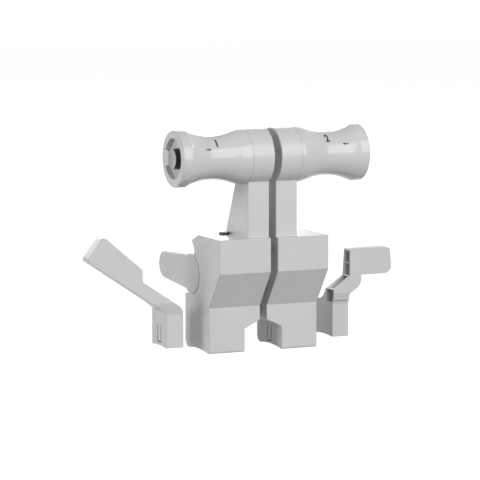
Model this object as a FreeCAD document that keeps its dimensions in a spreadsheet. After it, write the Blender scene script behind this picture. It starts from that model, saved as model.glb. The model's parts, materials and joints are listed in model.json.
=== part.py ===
"""Lever heads of a desktop throttle quadrant: two throttles, a speed brake lever and a flap lever.

Frame: +X to the right, +Y away from the pilot, +Z up, millimetres.  The throttle 1 head is built
in its own corner frame (x from the outer face of its foot, y from the foot's front, z from the
underside of the foot) and the throttle 2 head is its mirror image across the gap between them.
"""
import FreeCAD, Part
import math
import os
import re
import Sketcher

Vector = FreeCAD.Vector

# Driving dimensions: alias, value in millimetres, degrees or a count, and what it is.
DIMENSIONS = [
    ("lever_pitch", 38.0, "from one quadrant lever blade to the next"),
    ("throttle_gap", 4.9, "between the two throttle heads"),
    ("blade_thick", 7.4, "socket width for the quadrant's lever blade"),
    ("blade_wide", 18.6, "socket length front to back"),
    ("running_gap", 0.3, "between pieces that move past each other"),
    ("slip_gap", 0.15, "between pieces that slip together by hand"),
    ("shaft_drop", 93.0, "from the throttle feet down to the quadrant's lever shaft"),
    # throttle head: foot and block
    ("foot_width", 24.0, "throttle foot, outer to inner face"),
    ("block_width", 34.4, "throttle block, outer to inner face"),
    ("ear_radius", 9.2, "round back of the foot, about the reverse pivot"),
    ("block_lean", 16.5, "how far the block stands out towards the pilot"),
    ("slant_low", 28.7, "height where the front starts to lean out"),
    ("slant_high", 51.6, "height where the front is upright again"),
    ("block_top", 72.8, "height of the block's flat top"),
    ("crease_depth", 17.0, "where the flat top starts to fall, from the foot's front"),
    ("lip_ahead", 1.2, "tip of the rear lip, ahead of the reverse pivot"),
    ("lip_drop", 4.4, "from the flat top down to the lip's tip"),
    ("lip_hollow", 18.0, "radius of the hollow under the lip"),
    ("root_ahead", 6.1, "foot of the hollow ahead of the reverse pivot"),
    ("root_rise", 11.8, "foot of the hollow above the reverse pivot"),
    ("notch_low", 14.6, "inner step of the foot, at the foot's side"),
    ("notch_high", 19.6, "inner step of the foot, at the block's inner face"),
    ("heel_round", 5.0, "radius at the back of the foot"),
    ("toe_round", 1.2, "radius at the front of the foot"),
    ("wall", 2.4, "housing wall"),
    ("ledge", 1.2, "step that the side cover rests on"),
    ("cover_thick", 2.4, "side cover"),
    ("socket_deep", 24.0, "blade socket in a throttle foot"),
    ("socket_wall", 2.3, "between the throttle socket and the foot's inner face"),
    ("cavity_floor", 31.2, "underside of the space in the block"),
    # snap tab
    ("tab_wide", 4.7, "snap tab"),
    ("tab_slot", 0.7, "slot round the snap tab"),
    ("tab_tall", 10.8, "snap tab, with the slot under it"),
    ("tab_low", 2.4, "lower end of the slot above the socket's mouth"),
    ("nib_proud", 0.7, "how far the tab's nib stands into the socket"),
    # stem and grip
    ("stem_width", 14.0, "stem and collar along the grip"),
    ("stem_front", 13.4, "stem's front face, ahead of the foot's front"),
    ("stem_back_low", 21.0, "stem's back at the block's top"),
    ("stem_back_high", 6.4, "stem's back under the grip"),
    ("stem_back_top", 105.0, "height where stem_back_high is measured"),
    ("grip_ahead", 5.0, "grip axis ahead of the foot's front"),
    ("grip_high", 122.8, "grip axis above the foot's underside"),
    ("collar_radius", 17.25, "collar"),
    ("flange_radius", 17.6, "outer end of the grip"),
    ("waist_radius", 13.4, "grip at its waist"),
    ("flange_wide", 6.0, "flat band at the grip's outer end"),
    ("waist_place", 24.0, "waist from the grip's outer end"),
    ("sleeve_long", 46.4, "grip sleeve"),
    ("sleeve_sweep", 20.4, "slope of the sleeve where its curve turns over, in degrees"),
    ("spigot_radius", 8.9, "tube that carries the sleeve"),
    ("spigot_wall", 2.0, "wall of that tube"),
    ("recess_radius", 12.5, "round recess in the grip's end"),
    ("recess_deep", 3.4, "depth of that recess"),
    ("bulkhead", 8.6, "wall behind the recess, which guides the button"),
    ("rib_wide", 9.4, "rib across the recess"),
    # disengage button in the grip's end
    ("button_radius", 6.3, "disengage button barrel"),
    ("button_proud", 0.9, "button beyond the grip's end face"),
    ("button_flange", 1.5, "stop flange behind the bulkhead"),
    ("button_travel", 1.6, "travel of the disengage button"),
    ("ring_wide", 1.7, "ring on the button's end"),
    ("ring_thick", 2.2, "ring on the button's end, along the grip"),
    ("rod_radius", 1.5, "push rod behind the button"),
    ("spring_wire", 0.6, "button spring wire"),
    ("spring_turns", 4, "turns of the button spring"),
    ("spring_long", 9.0, "button spring at rest"),
    ("switch_side", 6.0, "side of a push switch"),
    ("switch_thick", 3.5, "body of a push switch"),
    ("plunger_radius", 1.7, "plunger of a push switch"),
    ("plunger_long", 2.4, "plunger of a push switch"),
    ("carrier_thick", 2.0, "disc that carries the grip's switch"),
    # top button
    ("top_button_radius", 3.4, "button on the block"),
    ("top_button_place", 16.2, "from the foot's outer face"),
    ("top_button_depth", 13.2, "from the foot's front"),
    ("top_button_proud", 1.5, "above the block's top"),
    ("top_button_travel", 0.8, "travel of the button on the block"),
    ("top_flange", 0.9, "how far its flange is wider than the button"),
    ("shelf_high", 59.6, "top of the shelf under its switch"),
    # reverse lever
    ("pivot_depth", 28.8, "reverse pivot from the foot's front"),
    ("pivot_high", 47.0, "reverse pivot above the foot's underside"),
    ("pocket_radius", 13.2, "round pocket for the lever's hub"),
    ("pocket_wide", 17.0, "pocket from the outer face inwards"),
    ("hub_radius", 12.6, "hub of the reverse lever"),
    ("reverse_long", 54.0, "reverse lever, pivot to tip"),
    ("reverse_tip", 8.9, "half the width of its rounded end"),
    ("reverse_tip_rise", 0.8, "centre of the rounded end above the pivot"),
    ("reverse_root_low", 11.3, "underside of the lever at its pivot"),
    ("reverse_edge", 1.6, "radius along the lever's edges"),
    ("reverse_angle", 50.0, "how far the reverse lever lifts, in degrees"),
    ("pivot_radius", 3.0, "shank of the pivot screw"),
    ("pivot_fit", 0.05, "running clearance of the pivot screw in its bush"),
    ("pivot_thread", 2.1, "thread of the pivot screw"),
    ("pivot_thread_long", 9.0, "thread of the pivot screw"),
    ("pivot_head", 4.6, "head radius of the pivot screw"),
    ("pivot_head_thick", 2.4, "head of the pivot screw"),
    ("bush_wall", 1.5, "wall of the flanged bush"),
    ("bush_flange", 1.0, "flange of the bush"),
    ("return_wire", 0.8, "return spring wire"),
    ("return_turns", 2, "turns of the return spring"),
    # screws of the side cover
    ("boss_radius", 3.9, "screw boss"),
    ("screw_radius", 1.5, "cover screw"),
    ("screw_head", 2.75, "head radius of a cover screw"),
    ("screw_head_thick", 1.2, "head of a cover screw"),
    ("screw_slot", 1.65, "half the length of its cross slot"),
    ("screw_long", 8.0, "cover screw under its head"),
    ("sink_radius", 3.1, "counterbore in the cover"),
    ("screw_top_high", 65.0, "upper cover screw above the foot's underside"),
    ("screw_top_ahead", 8.6, "upper cover screw ahead of the foot's front"),
    ("screw_low_high", 39.4, "lower cover screw above the foot's underside"),
    ("screw_low_depth", 2.4, "lower cover screw behind the foot's front"),
    ("screw_grip_ahead", 8.6, "cover screw in the collar, ahead of the grip axis"),
    # wiring
    ("lead_radius", 0.9, "two-core lead inside the head"),
    ("lead_bend", 6.0, "bend radius of the lead"),
    ("plug_thick", 4.0, "contact block at the socket's end"),
    # side levers
    ("side_foot_width", 11.3, "foot of a side lever"),
    ("side_foot_depth", 23.3, "foot of a side lever, front to back"),
    ("side_foot_tall", 20.8, "upright front of a side lever's foot"),
    ("side_lift", 4.3, "side feet above the throttle feet"),
    ("side_socket_deep", 18.0, "blade socket in a side lever"),
    ("arm_width", 8.1, "arm of a side lever"),
    ("arm_step", 2.1, "arm stands out from the foot's front"),
    ("arm_step_tall", 7.4, "height over which it does so"),
    ("shoulder_tall", 1.4, "back of the foot above its upright front"),
    ("arm_low_tall", 9.7, "height over which the back draws in to the arm"),
    ("arm_thick_low", 11.7, "arm, front to back, where it leaves the foot"),
    ("arm_thick_high", 8.3, "arm, front to back, at the top"),
    ("arm_hollow", 14.0, "radius of the hollow behind the arm's root"),
    ("side_skin", 1.5, "walls of a side lever's channel"),
    ("side_rib", 1.0, "ribs across the channel"),
    ("corner_round", 0.8, "small corners of a side lever"),
    ("brake_slope", 33.8, "slope of the speed brake arm, in degrees"),
    ("brake_rise", 21.8, "where the arm's underside leaves the foot"),
    ("brake_reach", 53.0, "speed brake paddle beyond its foot"),
    ("brake_neck", 16.4, "step from arm to paddle, beyond the foot"),
    ("brake_paddle_wide", 18.2, "speed brake paddle at its end"),
    ("brake_flare", 6.4, "spread of the paddle's upper edge, in degrees"),
    ("brake_round", 2.4, "outer corners of the paddle"),
    ("neck_round", 3.4, "corners of the step from arm to paddle"),
    ("groove_radius", 2.6, "finger groove across the speed brake paddle"),
    ("groove_deep", 0.9, "finger groove"),
    ("groove_inset", 3.2, "middle of the finger groove from the paddle's end"),
    ("flap_slope", 36.5, "slope of the flap arm, in degrees"),
    ("flap_offset", 11.3, "upright of the flap arm from the foot's outer face"),
    ("flap_left_rise", 30.3, "where the slope starts on the left"),
    ("flap_right_rise", 27.0, "where the slope starts on the right"),
    ("flap_bend_high", 39.1, "underside of the flap paddle"),
    ("flap_paddle_long", 29.9, "flap paddle with the upright"),
    ("flap_paddle_tall", 16.6, "flap paddle"),
    ("flap_round_low", 5.0, "lower outer corner of the flap paddle"),
    ("flap_round_high", 2.2, "upper outer corner of the flap paddle"),
    ("flap_tip_lean", 1.6, "how far its outer edge leans in"),
    ("flap_rib_high", 47.0, "rib across the upright"),
    ("bend_outer", 7.0, "outer bend radius of a side lever"),
]

# Worked-out dimensions: alias and formula.
DERIVED = [
    ("lean_angle", "atan(block_lean / (slant_high - slant_low))"),
    ("lip_high", "block_top - lip_drop"),
    ("foot_depth", "pivot_depth + ear_radius"),
    ("lip_depth", "pivot_depth - lip_ahead"),
    ("root_depth", "pivot_depth - root_ahead"),
    ("root_high", "pivot_high + root_rise"),
    ("socket_place", "foot_width - socket_wall - blade_thick / 2"),
    ("socket_middle", "foot_depth / 2"),
    ("stem_place", "block_width - stem_width"),
    ("stem_fall", "(stem_back_low - stem_back_high) / (stem_back_top - block_top)"),
    ("spigot_long", "sleeve_long - recess_deep - bulkhead - running_gap"),
    ("web_end", "pocket_wide + wall"),
    ("cover_seat", "block_width - cover_thick"),
    ("mirror_place", "block_width + throttle_gap / 2"),
    ("brake_middle", "socket_place - lever_pitch"),
    ("flap_middle", "socket_place + 2 * lever_pitch"),
    ("side_front", "socket_middle - side_foot_depth / 2"),
    ("side_shoulder", "side_lift + side_foot_tall"),
    ("left_end", "brake_middle - side_foot_width / 2 - brake_reach + brake_round"
                 " * (cos(brake_slope) / tan(45 - brake_flare / 4) + sin(brake_slope) - 1)"),
    ("right_end", "flap_middle - side_foot_width / 2 + flap_offset + flap_paddle_long"),
    ("front_end", "-(grip_ahead + flange_radius)"),
    ("back_end", "pivot_depth + reverse_long"),
    ("shift_x", "-(left_end + right_end) / 2"),
    ("shift_y", "-(front_end + back_end) / 2"),
]

doc = FreeCAD.newDocument("lever_heads")
sheet = doc.addObject("Spreadsheet::Sheet", "dims")
ALIASES = {row[0] for row in DIMENSIONS + DERIVED}


def formula(words):
    """A formula in the sheet's aliases, as FreeCAD reads it from another object."""
    return re.sub(r"[a-z][a-z0-9_]*",
                  lambda word: ("dims." if word.group() in ALIASES else "") + word.group(), words)


def fill_sheet():
    for number, (alias, size, meaning) in enumerate(DIMENSIONS, start=1):
        sheet.set("A%d" % number, meaning)
        sheet.set("B%d" % number, str(size))
        sheet.setAlias("B%d" % number, alias)
    for number, (alias, words) in enumerate(DERIVED, start=len(DIMENSIONS) + 1):
        sheet.set("A%d" % number, "worked out")
        sheet.set("B%d" % number, "=" + words)
        sheet.setAlias("B%d" % number, alias)
    doc.recompute()


def size(words):
    """The value of a formula, for a first guess at geometry and for shapes made in code."""
    return float(sheet.evalExpression(formula(str(words))))


# ---------------------------------------------------------------- sketches and features

def add_body(name, x="0", y="0", z="0"):
    """A body at a place in the throttle 1 corner frame, which the row's frame shifts."""
    body = doc.addObject("PartDesign::Body", name)
    body.Label = name
    body.setExpression("Placement.Base.x", formula("shift_x + " + x))
    body.setExpression("Placement.Base.y", formula("shift_y + " + y))
    body.setExpression("Placement.Base.z", formula(z))
    return body


def add_sketch(body, role, offset="0"):
    """A sketch on one of the body's own planes, moved along the plane's normal."""
    sketch = body.newObject("Sketcher::SketchObject", body.Name + "_sketch")
    origin_plane = next(part for part in body.Origin.OriginFeatures if part.Role == role)
    sketch.AttachmentSupport = [(origin_plane, "")]
    sketch.MapMode = "FlatFace"
    sketch.setExpression("AttachmentOffset.Base.z", formula(offset))
    return sketch


def fix_point(sketch, geometry, end, x, y):
    """Hold a point at two formulas."""
    for kind, axis, words in (("DistanceX", -2, x), ("DistanceY", -1, y)):
        if words == "0":
            sketch.addConstraint(Sketcher.Constraint("PointOnObject", geometry, end, axis))
            continue
        number = sketch.addConstraint(Sketcher.Constraint(kind, -1, 1, geometry, end, size(words)))
        sketch.setExpression("Constraints[%d]" % number, formula(words))


def add_outline(sketch, corners):
    """A closed outline.  Each corner is (x, y) with a line to the next corner, or
    (x, y, radius, turn) with an arc to it, turning left (+1) or right (-1)."""
    points = [Vector(size(corner[0]), size(corner[1]), 0) for corner in corners]
    ends = []
    for number, corner in enumerate(corners):
        start, stop = points[number], points[(number + 1) % len(points)]
        if len(corner) == 2:
            geometry = sketch.addGeometry(Part.LineSegment(start, stop))
            ends.append((geometry, 1, 2))
            continue
        radius, turn = size(corner[2]), corner[3]
        half = (stop - start) / 2
        rise = math.sqrt(max(radius ** 2 - half.Length ** 2, 0))
        side = Vector(-half.y, half.x, 0).normalize()
        centre = start + half + side * rise * turn
        first, last = (start, stop) if turn > 0 else (stop, start)
        angles = [math.atan2(point.y - centre.y, point.x - centre.x) for point in (first, last)]
        circle = Part.Circle(centre, Vector(0, 0, 1), radius)
        geometry = sketch.addGeometry(Part.ArcOfCircle(circle, *angles))
        number = sketch.addConstraint(Sketcher.Constraint("Radius", geometry, radius))
        sketch.setExpression("Constraints[%d]" % number, formula(corner[2]))
        ends.append((geometry, 1, 2) if turn > 0 else (geometry, 2, 1))
    for number, corner in enumerate(corners):
        here, before = ends[number], ends[number - 1]
        sketch.addConstraint(Sketcher.Constraint("Coincident", before[0], before[2], here[0], here[1]))
        fix_point(sketch, here[0], here[1], corner[0], corner[1])


def add_circle(sketch, x, y, radius):
    circle = Part.Circle(Vector(size(x), size(y), 0), Vector(0, 0, 1), size(radius))
    geometry = sketch.addGeometry(circle)
    fix_point(sketch, geometry, 3, x, y)
    number = sketch.addConstraint(Sketcher.Constraint("Radius", geometry, size(radius)))
    sketch.setExpression("Constraints[%d]" % number, formula(radius))


def box_corners(left, bottom, right, top):
    return [(left, bottom), (right, bottom), (right, top), (left, top)]


def add_feature(body, kind, sketch, length, backwards):
    feature = body.newObject("PartDesign::" + kind, body.Name + "_" + kind.lower())
    feature.Profile = sketch
    feature.setExpression("Length", formula(length))
    feature.Reversed = backwards
    sketch.Visibility = False
    return feature


def pad(body, role, offset, length, outlines=(), circles=(), backwards=False):
    """Adds material from a plane along its normal."""
    sketch = add_sketch(body, role, offset)
    for outline in outlines:
        add_outline(sketch, outline)
    for circle in circles:
        add_circle(sketch, *circle)
    return add_feature(body, "Pad", sketch, length, backwards)


def pocket(body, role, offset, length, outlines=(), circles=(), along=True):
    """Cuts material from a plane, along its normal or against it, and checks that it did."""
    doc.recompute()
    before = body.Shape.Volume
    sketch = add_sketch(body, role, offset)
    for outline in outlines:
        add_outline(sketch, outline)
    for circle in circles:
        add_circle(sketch, *circle)
    feature = add_feature(body, "Pocket", sketch, length, along)
    doc.recompute()
    if body.Shape.Volume > before - 0.01:
        raise RuntimeError("a pocket of %s cuts nothing" % body.Label)
    return feature


def revolve(body, outline, kind="Revolution"):
    """Turns an outline about the body's own X axis."""
    sketch = add_sketch(body, "XZ_Plane")
    add_outline(sketch, outline)
    feature = body.newObject("PartDesign::" + kind, body.Name + "_" + kind.lower())
    feature.Profile = sketch
    feature.ReferenceAxis = (sketch, ["H_Axis"])
    feature.Angle = 360
    return feature


def round_edges(body, radius, chosen, kind="Fillet"):
    """Fillets or chamfers the edges that a test picks."""
    doc.recompute()
    base = body.Tip
    names = ["Edge%d" % (number + 1) for number, edge in enumerate(base.Shape.Edges) if chosen(edge)]
    feature = body.newObject("PartDesign::" + kind, body.Name + "_" + kind.lower())
    feature.Base = (base, names)
    feature.setExpression("Radius" if kind == "Fillet" else "Size", formula(radius))
    doc.recompute()
    return feature


def edge_at(edge, **places):
    """True where every point of the edge has the coordinates given."""
    points = [edge.valueAt(edge.FirstParameter + step * (edge.LastParameter - edge.FirstParameter))
              for step in (0, 0.5, 1)]
    return all(abs(getattr(point, axis) - place) < 0.02 for point in points
               for axis, place in places.items())


# ---------------------------------------------------------------- throttle head

def block_space(inset):
    """Outline of the space inside the block, set in from the outer walls."""
    return [
        ("-block_lean + %s" % inset, "block_top - %s" % inset),
        ("-block_lean + %s" % inset, "slant_high + %s * tan(lean_angle / 2)" % inset),
        ("%s / cos(lean_angle) - (cavity_floor - slant_low) * tan(lean_angle)" % inset, "cavity_floor"),
        ("foot_depth - %s" % inset, "cavity_floor"),
        ("foot_depth - %s" % inset, "pivot_high", "ear_radius - %s" % inset, 1),
        ("pivot_depth", "pivot_high + ear_radius - %s" % inset),
        ("root_depth - %s" % inset, "pivot_high + ear_radius - %s" % inset),
        ("root_depth - %s" % inset, "lip_high - %s / 2" % inset),
        ("crease_depth + ledge", "block_top - %s" % inset),
    ]


def stem_space(inset):
    """Outline of the space inside the stem, from the block up into the collar."""
    low, high = "(block_top - 2 * wall)", "grip_high"
    back = "stem_back_low - (%s - block_top) * stem_fall - %s * 1.1"
    return [
        ("-stem_front + %s" % inset, low),
        (back % (low, inset), low),
        (back % (high, inset), high),
        ("-stem_front + %s" % inset, high),
    ]


def cover_screw_places():
    return [("-screw_top_ahead", "screw_top_high"), ("screw_low_depth", "screw_low_high"),
            ("-grip_ahead - screw_grip_ahead", "grip_high")]


def make_housing():
    """Block, stem, collar and the tube that carries the grip sleeve: one moulding."""
    body = add_body("throttle_1_housing")
    side = [
        ("toe_round", "0", "shaft_drop", -1),
        ("foot_depth - heel_round", "0", "heel_round", 1),
        ("foot_depth", "heel_round"),
        ("foot_depth", "pivot_high", "ear_radius", 1),
        ("pivot_depth", "pivot_high + ear_radius"),
        ("root_depth", "root_high", "lip_hollow", -1),
        ("lip_depth", "lip_high"),
        ("crease_depth", "block_top"),
        ("-block_lean", "block_top"),
        ("-block_lean", "slant_high"),
        ("0", "slant_low"),
        ("0", "toe_round", "toe_round", 1),
    ]
    pad(body, "YZ_Plane", "0", "block_width", [side])
    stem = [
        ("-stem_front", "block_top - wall"),
        ("stem_back_low", "block_top - wall"),
        ("stem_back_low", "block_top"),
        ("stem_back_low - (grip_high - block_top) * stem_fall", "grip_high"),
        ("-stem_front", "grip_high"),
    ]
    pad(body, "YZ_Plane", "stem_place", "stem_width", [stem])
    axis = ("-grip_ahead", "grip_high")
    pad(body, "YZ_Plane", "stem_place", "stem_width", circles=[axis + ("collar_radius",)])
    pad(body, "YZ_Plane", "stem_place", "spigot_long", circles=[axis + ("spigot_radius",)],
        backwards=True)
    # the step on the inner side of the foot, and the pocket for the reverse lever's hub
    notch = [("foot_width", "-heel_round"), ("block_width + wall", "-heel_round"),
             ("block_width + wall", "notch_high + (notch_high - notch_low) * wall"
              " / (block_width - foot_width)"), ("foot_width", "notch_low")]
    pocket(body, "XZ_Plane", "wall", "foot_depth + 2 * wall", [notch], along=False)
    hub_room = [
        ("root_depth", "root_high", "pocket_radius", 1),
        ("pivot_depth", "pivot_high - pocket_radius"),
        ("foot_depth + wall", "pivot_high - pocket_radius"),
        ("foot_depth + wall", "root_high"),
    ]
    pocket(body, "YZ_Plane", "0", "pocket_wide", [hub_room])
    # the space inside, open on the inner side where the cover closes it
    pocket(body, "YZ_Plane", "cover_seat", "cover_thick", [block_space("(wall - ledge)")])
    pocket(body, "YZ_Plane", "web_end", "cover_seat - web_end", [block_space("wall")])
    front_room = [
        ("-block_lean + wall", "block_top - wall"),
        ("-block_lean + wall", "slant_high + wall * tan(lean_angle / 2)"),
        ("wall / cos(lean_angle) - (cavity_floor - slant_low) * tan(lean_angle)", "cavity_floor"),
        ("pivot_depth - pocket_radius - wall", "cavity_floor"),
        ("pivot_depth - pocket_radius - wall", "shelf_high"),
        ("root_depth - wall", "shelf_high"),
        ("root_depth - wall", "lip_high - wall / 2"),
        ("crease_depth + ledge", "block_top - wall"),
    ]
    pocket(body, "YZ_Plane", "wall", "web_end - wall", [front_room])
    pocket(body, "YZ_Plane", "cover_seat", "cover_thick", [stem_space("(wall - ledge)")])
    pocket(body, "YZ_Plane", "stem_place + wall", "stem_width - wall", [stem_space("wall")])
    pocket(body, "YZ_Plane", "cover_seat", "cover_thick",
           circles=[axis + ("collar_radius - wall + ledge",)])
    pocket(body, "YZ_Plane", "stem_place + wall", "stem_width - wall",
           circles=[axis + ("collar_radius - wall",)])
    pocket(body, "YZ_Plane", "stem_place - spigot_long", "spigot_long + 2 * wall",
           circles=[axis + ("spigot_radius - spigot_wall",)])
    # shelf for the top button's switch, screw bosses and the seat of the reverse bush
    shelf = box_corners("top_button_depth - switch_side / 2 - slip_gap", "shelf_high - wall",
                        "pivot_depth - pocket_radius", "shelf_high")
    pad(body, "YZ_Plane", "wall / 2", "web_end - wall / 2", [shelf])
    starts = ("wall / 2", "wall / 2", "stem_place + wall / 2")
    for start, place in zip(starts, cover_screw_places()):
        pad(body, "YZ_Plane", start, "cover_seat - (%s)" % start, circles=[place + ("boss_radius",)])
    pocket(body, "YZ_Plane", "cover_seat - screw_long", "screw_long",
           circles=[place + ("screw_radius",) for place in cover_screw_places()])
    pocket(body, "YZ_Plane", "pocket_wide", "wall",
           circles=[("pivot_depth", "pivot_high", "pivot_radius + pivot_fit + bush_wall")])
    pocket(body, "XY_Plane", "block_top - 2 * wall", "4 * wall",
           circles=[("top_button_place", "top_button_depth", "top_button_radius + running_gap")])
    # blade socket in the foot, the lead's way into it, and the snap tab in its inner wall
    socket = box_corners("socket_place - blade_thick / 2", "socket_middle - blade_wide / 2",
                         "socket_place + blade_thick / 2", "socket_middle + blade_wide / 2")
    pocket(body, "XY_Plane", "-heel_round", "socket_deep + heel_round", [socket])
    pocket(body, "XY_Plane", "socket_deep", "cavity_floor - socket_deep",
           circles=[("web_end + lead_radius + running_gap", "socket_middle",
                     "lead_radius + slip_gap")])
    add_snap_tab(body, "foot_width - socket_wall", "socket_wall", "socket_middle", "0", inwards=-1)
    return body


def add_snap_tab(body, inner_face, thick, middle, mouth, inwards):
    """A spring tab cut out of a socket wall by a U-shaped slot, with a nib that holds the blade."""
    low, high = "%s + tab_low" % mouth, "%s + tab_low + tab_tall" % mouth
    near = "%s - tab_wide / 2" % middle
    far = "%s + tab_wide / 2" % middle
    slot = [
        (near + " - tab_slot", low), (far + " + tab_slot", low), (far + " + tab_slot", high),
        (far, high), (far, low + " + tab_slot"), (near, low + " + tab_slot"), (near, high),
        (near + " - tab_slot", high),
    ]
    pocket(body, "YZ_Plane", inner_face, thick, [slot], along=inwards < 0)
    nib = box_corners(near, low + " + tab_slot", far, low + " + tab_slot + 2 * nib_proud")
    pad(body, "YZ_Plane", inner_face, "nib_proud", [nib], backwards=inwards < 0)


def make_cover():
    """Side cover: one plate over block, stem and collar, on the housing's ledge."""
    body = add_body("throttle_1_side_cover")
    inset = "(wall - ledge + slip_gap)"
    pad(body, "YZ_Plane", "cover_seat", "cover_thick", [block_space(inset)])
    pad(body, "YZ_Plane", "cover_seat", "cover_thick", [stem_space(inset)])
    pad(body, "YZ_Plane", "cover_seat", "cover_thick",
        circles=[("-grip_ahead", "grip_high", "collar_radius - " + inset)])
    pocket(body, "YZ_Plane", "cover_seat", "cover_thick",
           circles=[place + ("screw_radius + slip_gap",) for place in cover_screw_places()])
    pocket(body, "YZ_Plane", "block_width - screw_head_thick", "screw_head_thick",
           circles=[place + ("sink_radius",) for place in cover_screw_places()])
    return body


def make_cover_screws():
    """Three pan screws that hold the side cover, with a cross slot each."""
    profile = [("0", "0"), ("screw_long + cover_thick - screw_head_thick - slip_gap", "0"),
               ("screw_long + cover_thick - screw_head_thick - slip_gap", "screw_radius"),
               ("0", "screw_radius"), ("0", "screw_head"), ("-screw_head_thick + slip_gap", "screw_head"),
               ("-screw_head_thick", "screw_head - slip_gap"), ("-screw_head_thick", "0")]
    screws = []
    for number, (y, z) in enumerate(cover_screw_places(), start=1):
        screw = add_body("cover_screw_%d" % number, "block_width - screw_head_thick", y, z)
        revolve(screw, [("-(%s)" % x, r) for x, r in profile])
        for reach, half in (("screw_slot", "slip_gap"), ("slip_gap", "screw_slot")):
            slot = box_corners("-" + reach, "-" + half, reach, half)
            pocket(screw, "YZ_Plane", "screw_head_thick / 2", "screw_head_thick", [slot])
        screws.append(screw)
    group = doc.addObject("Part::Compound", "throttle_1_cover_screws")
    group.Label = "throttle_1_cover_screws"
    group.Links = screws
    return group


def grip_body(name, along="0"):
    """A body whose X axis is the grip's axis, from the grip's outer end inwards."""
    return add_body(name, "stem_place - sleeve_long + " + along, "-grip_ahead", "grip_high")


def make_sleeve():
    """Waisted grip sleeve: outer band, one hollow curve, and a second curve into the collar."""
    body = grip_body("throttle_1_grip_sleeve")
    hollow = "((waist_place - flange_wide)^2 + (flange_radius - waist_radius)^2)" \
             " / (2 * (flange_radius - waist_radius))"
    turn_x = "waist_place + %s * sin(sleeve_sweep)" % hollow
    turn_r = "waist_radius + %s * (1 - cos(sleeve_sweep))" % hollow
    crown = "((sleeve_long - waist_place) / sin(sleeve_sweep) - %s)" % hollow
    outline = [
        ("0", "recess_radius"),
        ("recess_deep", "recess_radius"),
        ("recess_deep", "button_radius + slip_gap"),
        ("recess_deep + bulkhead", "button_radius + slip_gap"),
        ("recess_deep + bulkhead", "spigot_radius + slip_gap / 3"),
        ("sleeve_long", "spigot_radius + slip_gap / 3"),
        ("sleeve_long", "collar_radius", crown, 1),
        (turn_x, turn_r, hollow, -1),
        ("flange_wide", "flange_radius"),
        ("slip_gap * 3", "flange_radius"),
        ("0", "flange_radius - slip_gap * 3"),
    ]
    revolve(body, outline)
    rib = box_corners("button_radius + 4 * running_gap", "-rib_wide / 2",
                      "recess_radius + running_gap", "rib_wide / 2")
    pad(body, "YZ_Plane", "0", "recess_deep", [rib])
    return body


def make_button():
    """Barrel of the disengage button, with its stop flange and push rod."""
    body = grip_body("throttle_1_disengage_button")
    flange = "recess_deep + bulkhead + running_gap"
    rest = "-button_proud + ring_thick"
    rod_end = flange + " + button_flange + spring_long - switch_thick - plunger_long" \
                       " - button_travel - running_gap"
    outline = [
        ("-button_proud + ring_thick / 2", "0"),
        ("-button_proud + ring_thick / 2", "button_radius - ring_wide - slip_gap / 3"),
        (rest, "button_radius - ring_wide - slip_gap / 3"),
        (rest, "button_radius"),
        (flange, "button_radius"),
        (flange, "spigot_radius - spigot_wall - running_gap"),
        (flange + " + button_flange", "spigot_radius - spigot_wall - running_gap"),
        (flange + " + button_flange", "rod_radius"),
        (rod_end, "rod_radius"),
        (rod_end, "0"),
    ]
    revolve(body, outline)
    return body


def make_button_ring():
    """Dished ring on the end of the disengage button."""
    body = grip_body("throttle_1_button_ring")
    inner = "button_radius - ring_wide"
    outline = [
        ("-button_proud", inner + " + ring_wide / 3"),
        ("-button_proud + ring_thick / 2", inner),
        ("-button_proud + ring_thick", inner),
        ("-button_proud + ring_thick", "button_radius"),
        ("-button_proud + slip_gap * 2", "button_radius"),
        ("-button_proud", "button_radius - slip_gap * 2"),
    ]
    revolve(body, outline)
    return body


def make_coil(name, start, y, z, radius, wire, turns, length):
    """A coil spring along X, swept round a helix, with one face to each turn."""
    height = size(length) - size(wire)
    helix = Part.makeLongHelix(height / size(turns), height, size(radius))
    section = Part.Wire(Part.Circle(Vector(size(radius), 0, 0), Vector(0, 1, 0), size(wire) / 2).toShape())
    coil = Part.Wire(helix.Edges).makePipeShell([section], True, True)
    spring = doc.addObject("Part::Feature", name)
    spring.Label = name
    spring.Shape = coil
    place = Vector(size("shift_x + " + start) + size(wire) / 2, size("shift_y + " + y), size(z))
    spring.Placement = FreeCAD.Placement(place, FreeCAD.Rotation(Vector(0, 1, 0), 90))
    return spring


def make_button_spring():
    start = "stem_place - sleeve_long + recess_deep + bulkhead + running_gap + button_flange"
    return make_coil("throttle_1_button_spring", start, "-grip_ahead", "grip_high",
                     "spigot_radius - spigot_wall - 2 * spring_wire", "spring_wire",
                     "spring_turns", "spring_long")


def make_switch(name, body):
    """A square push switch with its plunger towards the button."""
    half = "switch_side / 2"
    pad(body, "YZ_Plane", "0", "switch_thick",
        [box_corners("-" + half, "-" + half, half, half)], backwards=True)
    pad(body, "YZ_Plane", "-switch_thick", "plunger_long",
        circles=[("0", "0", "plunger_radius")], backwards=True)
    body.Label = name
    return body


def make_grip_switch():
    seat = "recess_deep + bulkhead + running_gap + button_flange + spring_long"
    switch = make_switch("throttle_1_disengage_switch", grip_body("throttle_1_disengage_switch", seat))
    carrier = grip_body("throttle_1_switch_carrier", seat)
    pad(carrier, "YZ_Plane", "0", "carrier_thick",
        circles=[("0", "0", "spigot_radius - spigot_wall - slip_gap / 3")])
    pocket(carrier, "YZ_Plane", "0", "carrier_thick",
           [box_corners("-switch_side / 2", "switch_side / 2 + running_gap",
                        "switch_side / 2", "switch_side / 2 + 4 * running_gap")])
    return [switch, carrier]


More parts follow.
